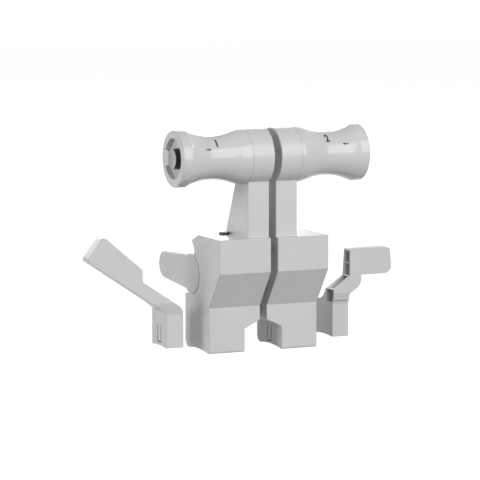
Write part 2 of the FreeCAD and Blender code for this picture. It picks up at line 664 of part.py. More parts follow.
def make_top_button():
    """Button on the block's top and the switch under it, on a vertical axis."""
    cap = add_body("throttle_1_top_button", "top_button_place", "top_button_depth", "block_top")
    flange_top = "wall + running_gap"
    pad(cap, "XY_Plane", "-(%s)" % flange_top, "top_button_proud + " + flange_top,
        circles=[("0", "0", "top_button_radius")])
    pad(cap, "XY_Plane", "-(%s)" % flange_top, "wall / 2",
        circles=[("0", "0", "top_button_radius + top_flange")], backwards=True)
    round_edges(cap, "slip_gap * 4", lambda edge: edge_at(edge, z=size("top_button_proud")))
    switch = add_body("throttle_1_top_switch", "top_button_place", "top_button_depth", "shelf_high")
    half = "switch_side / 2"
    pad(switch, "XY_Plane", "0", "switch_thick", [box_corners("-" + half, "-" + half, half, half)])
    pad(switch, "XY_Plane", "switch_thick",
        "block_top - (%s) - wall / 2 - top_button_travel - running_gap - shelf_high"
        " - switch_thick" % flange_top,
        circles=[("0", "0", "plunger_radius")])
    return [cap, switch]


def pivot_body(name):
    """A body whose X axis is the reverse pivot, from the block's outer face inwards."""
    return add_body(name, "0", "pivot_depth", "pivot_high")


def make_reverse_lever():
    """Reverse lever: a round hub and a flat, tapering handle with a rounded end."""
    body = pivot_body("throttle_1_reverse_lever")
    thick = "pocket_wide - running_gap"
    arm = [
        ("0", "-reverse_root_low"),
        ("reverse_long - reverse_tip", "reverse_tip_rise - reverse_tip", "reverse_tip", 1),
        ("reverse_long", "reverse_tip_rise", "reverse_tip", 1),
        ("reverse_long - reverse_tip", "reverse_tip_rise + reverse_tip"),
        ("0", "hub_radius - running_gap / 3"),
    ]
    pad(body, "YZ_Plane", "0", thick, [arm])
    pad(body, "YZ_Plane", "0", thick, circles=[("0", "0", "hub_radius")])
    faces = (0.0, size(thick))
    clear = size("pocket_radius + reverse_edge")

    def rim(edge):
        beyond = edge.CenterOfMass.y > clear and edge.Length > size("reverse_tip")
        return beyond and any(edge_at(edge, x=face) for face in faces)

    round_edges(body, "reverse_edge", rim)
    pocket(body, "YZ_Plane", "%s - pivot_thread_long - running_gap" % thick,
           "pivot_thread_long + running_gap", circles=[("0", "0", "pivot_thread")])
    return body


def make_pivot():
    """Shoulder screw of the reverse lever, its flanged bush and its return spring."""
    face = "pocket_wide - running_gap"
    bush_end = "web_end + bush_flange"
    head = bush_end + " + (return_turns + 1.5) * return_wire"
    screw = pivot_body("throttle_1_reverse_pivot")
    revolve(screw, [
        (face + " - pivot_thread_long", "0"),
        (face + " - pivot_thread_long", "pivot_thread"),
        (face, "pivot_thread"),
        (face, "pivot_radius"),
        (head, "pivot_radius"),
        (head, "pivot_head"),
        (head + " + pivot_head_thick", "pivot_head"),
        (head + " + pivot_head_thick", "0"),
    ])
    bush = pivot_body("throttle_1_reverse_bush")
    outer = "pivot_radius + pivot_fit + bush_wall"
    revolve(bush, [
        ("pocket_wide", "pivot_radius + pivot_fit"),
        (bush_end, "pivot_radius + pivot_fit"),
        (bush_end, outer + " + bush_wall"),
        ("web_end", outer + " + bush_wall"),
        ("web_end", outer),
        ("pocket_wide", outer),
    ])
    spring = make_coil("throttle_1_return_spring", bush_end, "pivot_depth", "pivot_high",
                       "pivot_radius + running_gap + return_wire / 2", "return_wire",
                       "return_turns", "(return_turns + 1.2) * return_wire")
    return [screw, bush, spring]


def make_lead():
    """Two-core lead from the grip's switch to the contact block: straight runs and tangent arcs."""
    seat = "stem_place - sleeve_long + recess_deep + bulkhead + running_gap + button_flange" \
           " + spring_long + carrier_thick"
    bend = size("lead_bend")
    down = size("block_width - cover_thick - lead_radius - 2 * running_gap")
    drop = size("web_end + lead_radius + running_gap")
    back = size("socket_middle")
    ahead = -size("grip_ahead")
    points = [
        Vector(size(seat), ahead, size("grip_high")),
        Vector(down, ahead, size("grip_high")),
        Vector(down, 0, size("block_top")),
        Vector(drop, back, size("cavity_floor + 4 * lead_bend")),
        Vector(drop, back, size("socket_deep")),
    ]
    edges, start = [], points[0]
    for number in range(1, len(points) - 1):
        corner = points[number]
        come = (corner - points[number - 1]).normalize()
        leave = (points[number + 1] - corner).normalize()
        turn = come.getAngle(leave)
        reach = bend * math.tan(turn / 2)
        enter, exit_point = corner - come * reach, corner + leave * reach
        inward = (leave - come).normalize()
        middle = corner + inward * (bend / math.cos(turn / 2) - bend)
        edges.append(Part.LineSegment(start, enter).toShape())
        edges.append(Part.Arc(enter, middle, exit_point).toShape())
        start = exit_point
    edges.append(Part.LineSegment(start, points[-1]).toShape())
    path = Part.Wire(edges)
    section = Part.Wire(Part.Circle(points[0], Vector(1, 0, 0), size("lead_radius")).toShape())
    tube = path.makePipeShell([section], True, False)
    lead = doc.addObject("Part::Feature", "throttle_1_lead")
    lead.Label = "throttle_1_lead"
    lead.Shape = tube
    lead.Placement = FreeCAD.Placement(Vector(size("shift_x"), size("shift_y"), 0), FreeCAD.Rotation())
    straight = math.pi * size("lead_radius") ** 2 * path.Length
    if abs(tube.Volume - straight) > 0.02 * straight:
        raise RuntimeError("the lead's tube is not its section times its length")
    return lead


def make_contact_block():
    """Contact block at the end of the throttle's blade socket."""
    body = add_body("throttle_1_contact_block", "socket_place", "socket_middle", "socket_deep")
    across = "blade_thick / 2 - slip_gap"
    along = "blade_wide / 3"
    pad(body, "XY_Plane", "0", "plug_thick",
        [box_corners("-(%s)" % across, "-" + along, across, along)], backwards=True)
    pins = [("0", "%d * blade_wide / 12" % step) for step in (-3, -1, 1, 3)]
    pocket(body, "XY_Plane", "-plug_thick", "plug_thick / 2",
           circles=[pin + ("slip_gap * 5",) for pin in pins if pin[1]])
    return body


# ---------------------------------------------------------------- side levers

def side_body(name, middle):
    """A side lever's corner frame: x from its foot's left face, y from its front, z from its sole."""
    return add_body(name, "%s - side_foot_width / 2" % middle, "side_front", "side_lift")


def shape_depth(body, left, right, top):
    """Cuts a side lever as seen from the side: a stepped front, and a back that draws in."""
    front = [
        ("0", "side_foot_tall"),
        ("-arm_step", "side_foot_tall + arm_step_tall"),
        ("-2 * arm_step", "side_foot_tall + arm_step_tall"),
        ("-2 * arm_step", "-wall"),
        ("0", "-wall"),
    ]
    shoulder = "side_foot_tall + shoulder_tall"
    back = [
        ("side_foot_depth", shoulder, "arm_hollow", -1),
        ("arm_thick_low - arm_step", "side_foot_tall + arm_low_tall"),
        ("arm_thick_high - arm_step", top),
        ("side_foot_depth + wall", top),
        ("side_foot_depth + wall", shoulder),
    ]
    across = "%s + %s" % (left, right)
    pocket(body, "YZ_Plane", "-(%s)" % left, across, [front])
    pocket(body, "YZ_Plane", "-(%s)" % left, across, [back])


def shape_foot(body, tab_left):
    """Blade socket, hollowed sole and snap tab of a side lever's foot."""
    half = "blade_thick / 2"
    middle = "side_foot_width / 2"
    sole = [
        ("side_foot_depth - toe_round", "0", "shaft_drop + side_lift", 1),
        ("toe_round", "0"),
        ("toe_round", "-wall"),
        ("side_foot_depth - toe_round", "-wall"),
    ]
    pocket(body, "YZ_Plane", "-wall", "side_foot_width + 2 * wall", [sole])
    socket = box_corners("%s - %s" % (middle, half), "(side_foot_depth - blade_wide) / 2",
                         "%s + %s" % (middle, half), "(side_foot_depth + blade_wide) / 2")
    pocket(body, "XY_Plane", "-wall", "side_socket_deep + wall", [socket])
    skin = "(side_foot_width - blade_thick) / 2"
    face = skin if tab_left else "side_foot_width - " + skin
    add_snap_tab(body, face, skin, "side_foot_depth / 2", "0", inwards=1 if tab_left else -1)


def open_channel(body, cells):
    """Cuts the cells of a side lever's channel: (outline, depth at the back)."""
    for outline, back in cells:
        pocket(body, "XZ_Plane", "arm_step - side_skin", "%s + arm_step - side_skin" % back,
               [outline], along=False)


def round_corners(body, corners):
    """Fillets the edges that run front to back at the given corners: (x, z, radius)."""
    for x, z, radius in corners:
        place = {"x": size(x), "z": size(z)}
        round_edges(body, radius, lambda edge: edge_at(edge, **place))


def make_flap_lever():
    """Flap lever: up from its foot, out along a slope, up again and into a paddle to the right."""
    body = side_body("flap_lever", "flap_middle")
    slope = " * tan(flap_slope)"
    right = "flap_offset + arm_width"
    tip = "flap_offset + flap_paddle_long"
    top = "flap_bend_high + flap_paddle_tall"
    left_bend = "flap_left_rise + flap_offset" + slope
    right_bend = "flap_right_rise + (%s - side_foot_width)%s" % (right, slope)
    outline = [
        ("0", "0"),
        ("side_foot_width", "0"),
        ("side_foot_width", "flap_right_rise"),
        (right, right_bend),
        (right, "flap_bend_high"),
        (tip, "flap_bend_high"),
        (tip + " - flap_tip_lean", top),
        ("flap_offset", top),
        ("flap_offset", left_bend),
        ("0", "flap_left_rise"),
    ]
    pad(body, "XZ_Plane", "arm_step", "side_foot_depth + arm_step", [outline], backwards=True)
    round_corners(body, [
        (right, right_bend, "bend_outer"), (right, "flap_bend_high", "corner_round"),
        (tip, "flap_bend_high", "flap_round_low"), (tip + " - flap_tip_lean", top, "flap_round_high"),
        ("flap_offset", top, "corner_round"),
    ])
    shape_depth(body, "wall", tip + " + wall", top + " + wall")
    inner = right + " - side_skin"
    beyond = "-side_skin"
    rib = "side_rib / 2"
    cells = [
        (box_corners("flap_offset" + beyond, "flap_rib_high + " + rib, inner, top + " - side_skin"),
         "arm_thick_high - arm_step - side_skin"),
        (box_corners("flap_offset" + beyond, "%s + %s" % (left_bend, rib), inner,
                     "flap_rib_high - " + rib), "arm_thick_high - arm_step - side_skin"),
        ([("-side_skin", "flap_left_rise + " + rib),
          ("side_foot_width - side_skin", "flap_left_rise + " + rib),
          (inner, "flap_left_rise + %s + (%s - side_foot_width)%s" % (rib, right, slope)),
          (inner, "%s - %s" % (left_bend, rib)), ("flap_offset - side_skin", "%s - %s" % (left_bend, rib)),
          ("-side_skin", "%s - %s - flap_offset%s" % (left_bend, rib, slope) + " + side_rib")],
         "arm_thick_low - arm_step - 2 * side_skin"),
        (box_corners("-side_skin", "side_foot_tall + shoulder_tall", "side_foot_width - side_skin",
                     "flap_left_rise - " + rib), "arm_thick_low - arm_step - side_skin"),
    ]
    open_channel(body, cells)
    shape_foot(body, tab_left=False)
    return body


def make_brake_lever():
    """Speed brake lever: up from its foot and out along a slope to a flared paddle on the left."""
    body = side_body("speed_brake_lever", "brake_middle")
    slope = " * tan(brake_slope)"
    arm = "arm_width / cos(brake_slope)"
    end_x = "-brake_reach"
    end_z = "brake_rise + brake_reach" + slope
    tip_x = "-brake_reach + brake_paddle_wide * sin(brake_slope + brake_flare / 2)"
    tip_z = "%s + brake_paddle_wide * cos(brake_slope + brake_flare / 2)" % end_z
    neck_z = "%s - (-brake_neck - (%s)) * tan(brake_slope + brake_flare)" % (tip_z, tip_x)
    elbow = "brake_rise + %s - side_foot_width%s" % (arm, slope)
    root = "brake_rise + %s + brake_neck%s" % (arm, slope)
    outline = [
        ("0", "0"),
        ("side_foot_width", "0"),
        ("side_foot_width", elbow),
        ("-brake_neck", root),
        ("-brake_neck", neck_z),
        (tip_x, tip_z),
        (end_x, end_z),
        ("0", "brake_rise"),
    ]
    pad(body, "XZ_Plane", "arm_step", "side_foot_depth + arm_step", [outline], backwards=True)
    round_corners(body, [
        ("side_foot_width", elbow, "bend_outer"), ("-brake_neck", root, "neck_round"),
        ("-brake_neck", neck_z, "neck_round"), (tip_x, tip_z, "brake_round"),
        (end_x, end_z, "brake_round"), ("0", "brake_rise", "neck_round"),
    ])
    shape_depth(body, "brake_reach + wall", "side_foot_width + wall", tip_z + " + wall")
    shape_foot(body, tab_left=True)
    return body


# ---------------------------------------------------------------- assembly and files

def mirror(piece):
    """The throttle 2 twin of a throttle 1 piece."""
    name = piece.Label.replace("throttle_1", "throttle_2")
    twin = doc.addObject("Part::Mirroring", name)
    twin.Label = name
    twin.Source = piece
    twin.Normal = Vector(1, 0, 0)
    twin.setExpression("Base.x", formula("shift_x + mirror_place"))
    return twin


def write_parts(pieces):
    doc.recompute()
    for thing in doc.Objects:
        if any(word in ("Invalid", "Error") for word in thing.State):
            raise RuntimeError("%s failed: %s" % (thing.Label, thing.State))
    os.makedirs("parts", exist_ok=True)
    for piece in pieces:
        if piece.Shape.isNull() or not piece.Shape.isValid():
            raise RuntimeError("%s has no valid shape" % piece.Label)
        piece.Shape.exportStep("parts/%s.step" % piece.Label)


def main():
    fill_sheet()
    head = [make_housing(), make_cover(), make_cover_screws(), make_sleeve(), make_button(),
            make_button_ring(), make_button_spring(), *make_grip_switch(), *make_top_button(),
            make_reverse_lever(), *make_pivot(), make_lead(), make_contact_block()]
    doc.recompute()
    twins = [mirror(piece) for piece in head]
    levers = [make_brake_lever(), make_flap_lever()]
    write_parts(head + twins + levers)


main()
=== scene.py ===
"""Studio dressing of the throttle quadrant lever heads.

Metres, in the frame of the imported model: +X to the right, +Y away from the pilot, +Z up.
The solids keep their shapes.  This script gives them their moulded and drawn surfaces, adds the
printed numerals and arrows, and sets the floor, the soft boxes and the camera.
"""
import json
import math
import bmesh
import bpy
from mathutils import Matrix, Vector
from mathutils.bvhtree import BVHTree


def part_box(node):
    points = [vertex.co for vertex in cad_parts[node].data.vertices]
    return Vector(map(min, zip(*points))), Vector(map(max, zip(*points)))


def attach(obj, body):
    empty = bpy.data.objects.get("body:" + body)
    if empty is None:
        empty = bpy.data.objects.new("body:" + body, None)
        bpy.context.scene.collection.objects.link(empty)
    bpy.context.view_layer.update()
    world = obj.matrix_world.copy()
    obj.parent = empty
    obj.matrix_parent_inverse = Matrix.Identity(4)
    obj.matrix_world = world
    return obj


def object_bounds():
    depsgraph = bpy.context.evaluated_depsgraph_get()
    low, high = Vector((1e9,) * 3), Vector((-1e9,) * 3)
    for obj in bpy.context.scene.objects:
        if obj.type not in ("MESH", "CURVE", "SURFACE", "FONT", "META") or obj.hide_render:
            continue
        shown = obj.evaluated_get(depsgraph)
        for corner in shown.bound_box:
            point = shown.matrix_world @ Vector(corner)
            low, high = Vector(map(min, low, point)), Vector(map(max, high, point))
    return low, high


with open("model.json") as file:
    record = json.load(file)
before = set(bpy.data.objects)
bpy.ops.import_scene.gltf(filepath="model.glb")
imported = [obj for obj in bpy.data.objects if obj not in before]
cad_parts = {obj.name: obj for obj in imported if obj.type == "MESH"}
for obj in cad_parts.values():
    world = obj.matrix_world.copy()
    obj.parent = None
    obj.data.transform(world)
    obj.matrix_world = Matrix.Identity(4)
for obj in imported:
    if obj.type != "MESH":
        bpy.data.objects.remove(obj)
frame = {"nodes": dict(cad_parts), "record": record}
CAD_BOX = [list(corner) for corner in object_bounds()]
LOW, HIGH = (Vector(corner) for corner in CAD_BOX)
MM = 0.001

# ---------------------------------------------------------------- camera

CAMERA_TURN = math.radians(-24.07)
CAMERA_RISE = math.radians(6.82)
CAMERA_DISTANCE = 1.598
CAMERA_LENS = 194.475
CAMERA_FAR = 30.0
CAMERA_AIM = Vector((-8.6, -37.9, 71.4)) * MM


def direction(turn, rise):
    """Unit vector from the object towards a place at that turn and height."""
    return Vector((math.sin(turn) * math.cos(rise), -math.cos(turn) * math.cos(rise),
                   math.sin(rise)))


def look_from(thing, place, aim):
    thing.location = place
    thing.rotation_euler = (place - aim).to_track_quat("Z", "Y").to_euler()


def set_camera():
    lens = bpy.data.cameras.new("camera")
    lens.lens = CAMERA_LENS
    lens.clip_end = CAMERA_FAR
    camera = bpy.data.objects.new("camera", lens)
    bpy.context.collection.objects.link(camera)
    look_from(camera, CAMERA_AIM + direction(CAMERA_TURN, CAMERA_RISE) * CAMERA_DISTANCE,
              CAMERA_AIM)
    bpy.context.scene.camera = camera


# ---------------------------------------------------------------- node helpers

def set_inputs(node, values):
    for label, value in values.items():
        node.inputs[label].default_value = value


def add_node(tree, kind, inputs=None, **settings):
    node = tree.nodes.new("ShaderNode" + kind)
    for label, value in settings.items():
        setattr(node, label, value)
    set_inputs(node, inputs or {})
    return node


def calculate(tree, operation, first, second=0.0, third=None, clamp=False):
    """A Math node on sockets or numbers, and its result."""
    node = add_node(tree, "Math", operation=operation, use_clamp=clamp)
    for number, value in enumerate((first, second, third)):
        if isinstance(value, bpy.types.NodeSocket):
            tree.links.new(value, node.inputs[number])
        elif value is not None:
            node.inputs[number].default_value = value
    return node.outputs[0]


def new_group(name, inputs, outputs):
    """A shader node group with named sockets: its tree, its entry and its exit."""
    group = bpy.data.node_groups.new(name, "ShaderNodeTree")
    for label, value in inputs.items():
        socket = group.interface.new_socket(label, in_out="INPUT", socket_type="NodeSocketFloat")
        socket.default_value = value
    for label, kind in outputs.items():
        group.interface.new_socket(label, in_out="OUTPUT", socket_type="NodeSocket" + kind)
    return group, group.nodes.new("NodeGroupInput"), group.nodes.new("NodeGroupOutput")


def place_group(tree, group, values):
    node = tree.nodes.new("ShaderNodeGroup")
    node.node_tree = group
    set_inputs(node, values)
    return node


# ---------------------------------------------------------------- shared surface effects

EDGE_RADIUS, GRAIN_SIZE, FLOW_SIZE, LINE_SIZE = 0.4 * MM, 0.35 * MM, 18 * MM, 0.08 * MM
EDGE_SAMPLES = 8
# how fast the mask for painted edge shade and painted edge highlight rises towards the edges
PAINTED_EDGE_GAIN = 6.0
NOISE_ROUGHNESS = 0.55
GRAIN_DETAIL, FLOW_DETAIL, LINE_DETAIL = 3.0, 2.0, 2.0
GRAIN_SHARE, FLOW_SHARE = 0.35, 0.65
LINE_SQUASH = 0.04


def make_soft_edges():
    """Rounds the shading at edges, and gives a mask of where the edges are, along which painted
    edge shade and painted edge highlight are laid.
    """
    group, entry, leave = new_group("soft_edges", {"Radius": EDGE_RADIUS},
                                    {"Normal": "Vector", "Edge": "Float"})
    links = group.links
    bevel = add_node(group, "Bevel", samples=EDGE_SAMPLES)
    geometry = add_node(group, "NewGeometry")
    links.new(entry.outputs["Radius"], bevel.inputs["Radius"])
    match = add_node(group, "VectorMath", operation="DOT_PRODUCT")
    links.new(bevel.outputs["Normal"], match.inputs[0])
    links.new(geometry.outputs["Normal"], match.inputs[1])
    edge = calculate(group, "SUBTRACT", 1.0, match.outputs["Value"])
    edge = calculate(group, "MULTIPLY", edge, PAINTED_EDGE_GAIN, clamp=True)
    links.new(bevel.outputs["Normal"], leave.inputs["Normal"])
    links.new(edge, leave.inputs["Edge"])
    return group


def make_moulded_grain():
    """Fine spark-eroded grain, with slow changes of gloss and tone from the plastic's flow."""
    group, entry, leave = new_group(
        "moulded_grain", {"Grain Size": GRAIN_SIZE, "Flow Size": FLOW_SIZE},
        {"Height": "Float", "Gloss": "Float", "Tone": "Float"})
    links = group.links
    place = add_node(group, "TexCoord").outputs["Object"]

    def noise(size_socket, detail):
        scale = calculate(group, "DIVIDE", 1.0, size_socket)
        cloud = add_node(group, "TexNoise", {"Detail": detail, "Roughness": NOISE_ROUGHNESS})
        links.new(place, cloud.inputs["Vector"])
        links.new(scale, cloud.inputs["Scale"])
        return cloud.outputs["Fac"]

    grain = noise(entry.outputs["Grain Size"], GRAIN_DETAIL)
    flow = noise(entry.outputs["Flow Size"], FLOW_DETAIL)
    links.new(grain, leave.inputs["Height"])
    mixed = calculate(group, "MULTIPLY_ADD", grain, GRAIN_SHARE,
                      calculate(group, "MULTIPLY", flow, FLOW_SHARE))
    links.new(mixed, leave.inputs["Gloss"])
    links.new(flow, leave.inputs["Tone"])
    return group


def make_drawn_lines():
    """Fine lines along X left by drawing or turning metal."""
    group, entry, leave = new_group("drawn_lines", {"Line Size": LINE_SIZE}, {"Height": "Float"})
    links = group.links
    squash = add_node(group, "Mapping", {"Scale": (LINE_SQUASH, 1.0, 1.0)})
    links.new(add_node(group, "TexCoord").outputs["Object"], squash.inputs["Vector"])
    lines = add_node(group, "TexNoise", {"Detail": LINE_DETAIL})
    links.new(squash.outputs["Vector"], lines.inputs["Vector"])
    links.new(calculate(group, "DIVIDE", 1.0, entry.outputs["Line Size"]), lines.inputs["Scale"])
    links.new(lines.outputs["Fac"], leave.inputs["Height"])
    return group


SOFT_EDGES = make_soft_edges()
MOULDED_GRAIN = make_moulded_grain()
DRAWN_LINES = make_drawn_lines()

# ---------------------------------------------------------------- materials

# a Mix node's places for two colours and for their blend
FIRST_COLOUR, SECOND_COLOUR, BLENDED = 6, 7, 2
# the stretch of a noise's values that is spread over a whole range
NOISE_LOW, NOISE_HIGH = 0.3, 0.7
PLASTIC_IOR = 1.47
GRAIN_BUMP = 0.05 * MM
METAL_EDGE, LINE_BUMP, LINE_DEPTH = 0.15 * MM, 0.02 * MM, 0.15


def new_material(name):
    material = bpy.data.materials.new(name)
    material.use_nodes = True
    return material, material.node_tree, material.node_tree.nodes["Principled BSDF"]


def blend_colours(tree, factor, first, second):
    mix = add_node(tree, "Mix", data_type="RGBA", blend_type="MIX")
    for number, colour in ((FIRST_COLOUR, first), (SECOND_COLOUR, second)):
        if isinstance(colour, bpy.types.NodeSocket):
            tree.links.new(colour, mix.inputs[number])
        else:
            mix.inputs[number].default_value = (*colour, 1.0)
    tree.links.new(factor, mix.inputs[0])
    return mix.outputs[BLENDED]


def spread(tree, value, low, high):
    """Maps a noise value onto a range."""
    ranged = add_node(tree, "MapRange", {"From Min": NOISE_LOW, "From Max": NOISE_HIGH,
                                         "To Min": low, "To Max": high})
    tree.links.new(value, ranged.inputs["Value"])
    return ranged.outputs["Result"]


def moulded_plastic(name, colour, shade, painted_edge_colour, gloss, grain=0.35, depth=0.12,
                    edge_radius=0.45, painted_edge_amount=0.8):
    """Injection-moulded plastic.  Sizes in millimetres, gloss as the range of its roughness.  Its
    edges get a painted edge colour: painted shade where that colour is darker than the plastic, a
    painted highlight where it is lighter.
    """
    material, tree, surface = new_material(name)
    links = tree.links
    texture = place_group(tree, MOULDED_GRAIN, {"Grain Size": grain * MM})
    edges = place_group(tree, SOFT_EDGES, {"Radius": edge_radius * MM})
    tone = blend_colours(tree, spread(tree, texture.outputs["Tone"], 0.0, 1.0), colour, shade)
    # painted edge colour blended in along the edge mask: painted shade on darker edges, painted
    # highlight on lighter ones
    edge = calculate(tree, "MULTIPLY", edges.outputs["Edge"], painted_edge_amount)
    links.new(blend_colours(tree, edge, tone, painted_edge_colour), surface.inputs["Base Color"])
    links.new(spread(tree, texture.outputs["Gloss"], *gloss), surface.inputs["Roughness"])
    bump = add_node(tree, "Bump", {"Strength": depth, "Distance": GRAIN_BUMP})
    links.new(texture.outputs["Height"], bump.inputs["Height"])
    links.new(edges.outputs["Normal"], bump.inputs["Normal"])
    links.new(bump.outputs["Normal"], surface.inputs["Normal"])
    surface.inputs["IOR"].default_value = PLASTIC_IOR
    return material


END_FACING = 0.4


def darken_round_side(material, colour):
    """Gives the round side of a turned piece along X another colour than its flat end."""
    tree = material.node_tree
    base = tree.nodes["Principled BSDF"].inputs["Base Color"]
    parts = add_node(tree, "SeparateXYZ")
    tree.links.new(add_node(tree, "NewGeometry").outputs["True Normal"], parts.inputs["Vector"])
    flat = calculate(tree, "GREATER_THAN",
                     calculate(tree, "ABSOLUTE", parts.outputs["X"]), END_FACING)
    end_colour = base.links[0].from_socket
    tree.links.new(blend_colours(tree, flat, colour, end_colour), base)
    return material


def drawn_metal(name, colour, shade, gloss):
    material, tree, surface = new_material(name)
    links = tree.links
    lines = place_group(tree, DRAWN_LINES, {})
    edges = place_group(tree, SOFT_EDGES, {"Radius": METAL_EDGE})
    factor = spread(tree, lines.outputs["Height"], 0.0, 1.0)
    links.new(blend_colours(tree, factor, colour, shade), surface.inputs["Base Color"])
    links.new(spread(tree, lines.outputs["Height"], *gloss), surface.inputs["Roughness"])
    bump = add_node(tree, "Bump", {"Strength": LINE_DEPTH, "Distance": LINE_BUMP})
    links.new(lines.outputs["Height"], bump.inputs["Height"])
    links.new(edges.outputs["Normal"], bump.inputs["Normal"])
    links.new(bump.outputs["Normal"], surface.inputs["Normal"])
    surface.inputs["Metallic"].default_value = 1.0
    return material


GREY = (0.655, 0.655, 0.66)
GREY_SHADE = (0.635, 0.635, 0.64)
# painted shade: the dark colour laid along the grey plastics' edges
GREY_PAINTED_EDGE_SHADE = (0.24, 0.24, 0.245)
RING = (0.42, 0.42, 0.425)
RING_SHADE = (0.39, 0.39, 0.395)
# painted highlight: the lighter colour laid along the ring's edges
RING_PAINTED_EDGE_HIGHLIGHT = (0.55, 0.55, 0.55)
BLACK = (0.016, 0.016, 0.017)
BLACK_SHADE = (0.022, 0.022, 0.023)
# painted highlight: the lighter colour laid along the edges of the black plastics, the sheath and
# the print
BLACK_PAINTED_EDGE_HIGHLIGHT = (0.05, 0.05, 0.05)
SWITCH = (0.03, 0.03, 0.035)
SWITCH_SHADE = (0.04, 0.04, 0.045)
ACETAL = (0.74, 0.71, 0.62)
ACETAL_SHADE = (0.70, 0.67, 0.58)
# painted highlight: the lighter colour laid along the acetal bushes' edges
ACETAL_PAINTED_EDGE_HIGHLIGHT = (0.80, 0.78, 0.70)
SHEATH = (0.05, 0.05, 0.055)
SHEATH_SHADE = (0.07, 0.07, 0.075)
INK = (0.02, 0.02, 0.022)
INK_SHADE = (0.035, 0.035, 0.037)
SCREW = (0.60, 0.61, 0.64)
SCREW_SHADE = (0.48, 0.49, 0.52)
SPRING = (0.50, 0.51, 0.53)
SPRING_SHADE = (0.40, 0.41, 0.43)


def make_materials():
    """One material for each slot of the record."""
    return {
        "shell_plastic": moulded_plastic("shell_plastic", GREY, GREY_SHADE, GREY_PAINTED_EDGE_SHADE,
                                         gloss=(0.24, 0.32)),
        "side_plastic": moulded_plastic("side_plastic", GREY, GREY_SHADE, GREY_PAINTED_EDGE_SHADE,
                                        gloss=(0.32, 0.40)),
        "lever_plastic": moulded_plastic("lever_plastic", GREY, GREY_SHADE, GREY_PAINTED_EDGE_SHADE,
                                         gloss=(0.34, 0.42)),
        "grip_plastic": moulded_plastic("grip_plastic", GREY, GREY_SHADE, GREY_PAINTED_EDGE_SHADE,
                                        gloss=(0.09, 0.13), grain=0.5, depth=0.05),
        "ring_plastic": darken_round_side(
            moulded_plastic("ring_plastic", RING, RING_SHADE, RING_PAINTED_EDGE_HIGHLIGHT, gloss=(0.28, 0.36),
                            edge_radius=0.2), BLACK),
        "button_plastic": moulded_plastic("button_plastic", BLACK, BLACK_SHADE, BLACK_PAINTED_EDGE_HIGHLIGHT,
                                          gloss=(0.34, 0.46), grain=0.25, depth=0.2,
                                          edge_radius=0.25),
        "switch_plastic": moulded_plastic("switch_plastic", SWITCH, SWITCH_SHADE, BLACK_PAINTED_EDGE_HIGHLIGHT,
                                          gloss=(0.45, 0.55), grain=0.2, depth=0.2,
                                          edge_radius=0.15),
        "bush_acetal": moulded_plastic("bush_acetal", ACETAL, ACETAL_SHADE, ACETAL_PAINTED_EDGE_HIGHLIGHT,
                                       gloss=(0.30, 0.40), grain=0.6, depth=0.05,
                                       edge_radius=0.15),
        "lead_sheath": moulded_plastic("lead_sheath", SHEATH, SHEATH_SHADE, BLACK_PAINTED_EDGE_HIGHLIGHT,
                                       gloss=(0.50, 0.62), grain=0.3, depth=0.25,
                                       edge_radius=0.1),
        "screw_steel": drawn_metal("screw_steel", SCREW, SCREW_SHADE, gloss=(0.24, 0.38)),
        "spring_steel": drawn_metal("spring_steel", SPRING, SPRING_SHADE, gloss=(0.20, 0.32)),
    }


def dress_solids(materials):
    slots = {row["node"]: row["material_slot"] for row in frame["record"]["subparts"]}
    for node, solid in frame["nodes"].items():
        solid.data.materials.clear()
        solid.data.materials.append(materials[slots[node]])


# ---------------------------------------------------------------- pieces from flat and solid forms

def add_piece(name, form, material, body):
    """Turns a form into a mesh piece that rides on a body, or stands in the studio for None."""
    mesh = bpy.data.meshes.new(name)
    form.to_mesh(mesh)
    form.free()
    mesh.materials.append(material)
    piece = bpy.data.objects.new(name, mesh)
    bpy.context.collection.objects.link(piece)
    if body:
        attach(piece, body)
    return piece


# ---------------------------------------------------------------- button ends and flap lever

DISH_FACETS = 48
DISH_RIM = 1.1 * MM
DISH_DEEP = 0.95 * MM
DISH_INSET = 0.25 * MM
DISH_THICK = 0.12 * MM
# the flap lever's foot: its upright front and the lean above it
FOOT_TALL, FOOT_WIDE = 20.8 * MM, 11.3 * MM
STEP, STEP_TALL = 2.1 * MM, 7.4 * MM
# the wall put into it: thickness, lower and upper edge, and how far it lies under the surface
SKIN, SKIN_LOW, SKIN_HIGH, SKIN_SUNK = 1.5 * MM, 0.3 * MM, 2.6 * MM, 0.03 * MM


def make_button_dishes(material):
    """A thin dished disc that closes each ring, so that the button ends in a light cap."""
    for number, outward in ((1, -1), (2, 1)):
        low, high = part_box("throttle_%d_button_ring" % number)
        face = low.x if outward < 0 else high.x
        middle = Vector((face, (low.y + high.y) / 2, (low.z + high.z) / 2))
        radius = (high.z - low.z) / 2 - DISH_RIM
        form = bmesh.new()
        centre = form.verts.new(middle - Vector((outward * DISH_DEEP, 0, 0)))
        edge = []
        for step in range(DISH_FACETS):
            angle = 2 * math.pi * step / DISH_FACETS
            spoke = Vector((0, math.cos(angle), math.sin(angle))) * radius
            edge.append(form.verts.new(middle + spoke - Vector((outward * DISH_INSET, 0, 0))))
        for first, second in zip(edge, edge[1:] + edge[:1]):
            form.faces.new([first, second, centre])
        dish = add_piece("throttle_%d_button_dish" % number, form, material,
                         "throttle_%d_disengage" % number)
        thick = dish.modifiers.new("thick", "SOLIDIFY")
        thick.thickness = DISH_THICK
        thick.offset = 0


